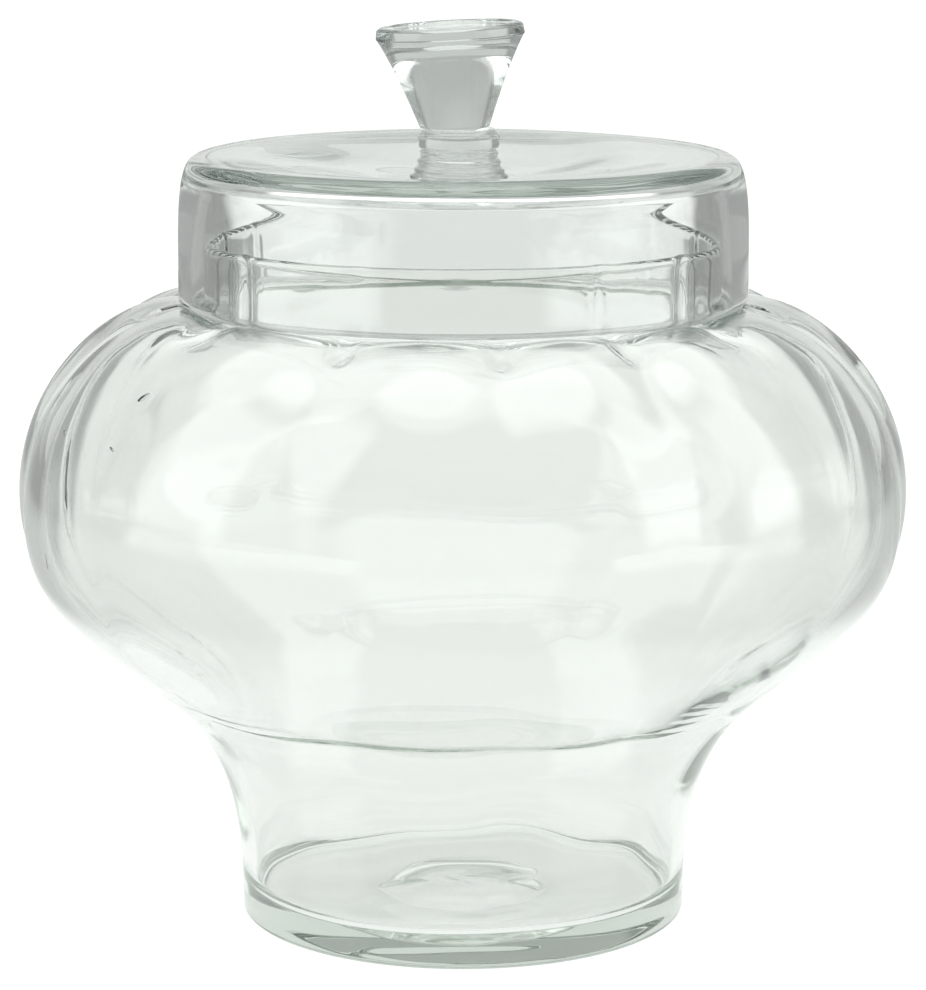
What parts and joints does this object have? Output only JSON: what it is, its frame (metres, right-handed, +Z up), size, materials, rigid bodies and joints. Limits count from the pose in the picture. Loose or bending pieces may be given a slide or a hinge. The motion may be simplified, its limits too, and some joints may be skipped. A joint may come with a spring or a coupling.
{
  "type": "apothecary jar",
  "caption": "Clear blown glass apothecary jar with a melon-lobed belly on a plain foot and a drop-over lid with a flared knob.",
  "frame": {"origin": "centre of the base, on the surface that the jar stands on", "axes": "+Z up the jar's axis towards the knob; -Y is the front, the side shown; +X to its right"},
  "size_m": [0.2217, 0.2201, 0.2235],
  "materials": {
    "blown_glass": "clear, glossy, very faint grey-green",
    "lid_glass": "clear, glossy, very faint grey",
    "solid_glass": "clear, glossy, solid, greyer where it is thick"
  },
  "bodies": {
    "jar": {"jar_body": "blown_glass"},
    "lid": {"lid": "lid_glass", "knob_button": "solid_glass", "knob": "solid_glass"}
  },
  "joints": [
    {"name": "lid_lift", "type": "slide", "parent": "jar", "child": "lid", "axis": [0, 0, 1], "range_m": [0, 0.12]}
  ]
}
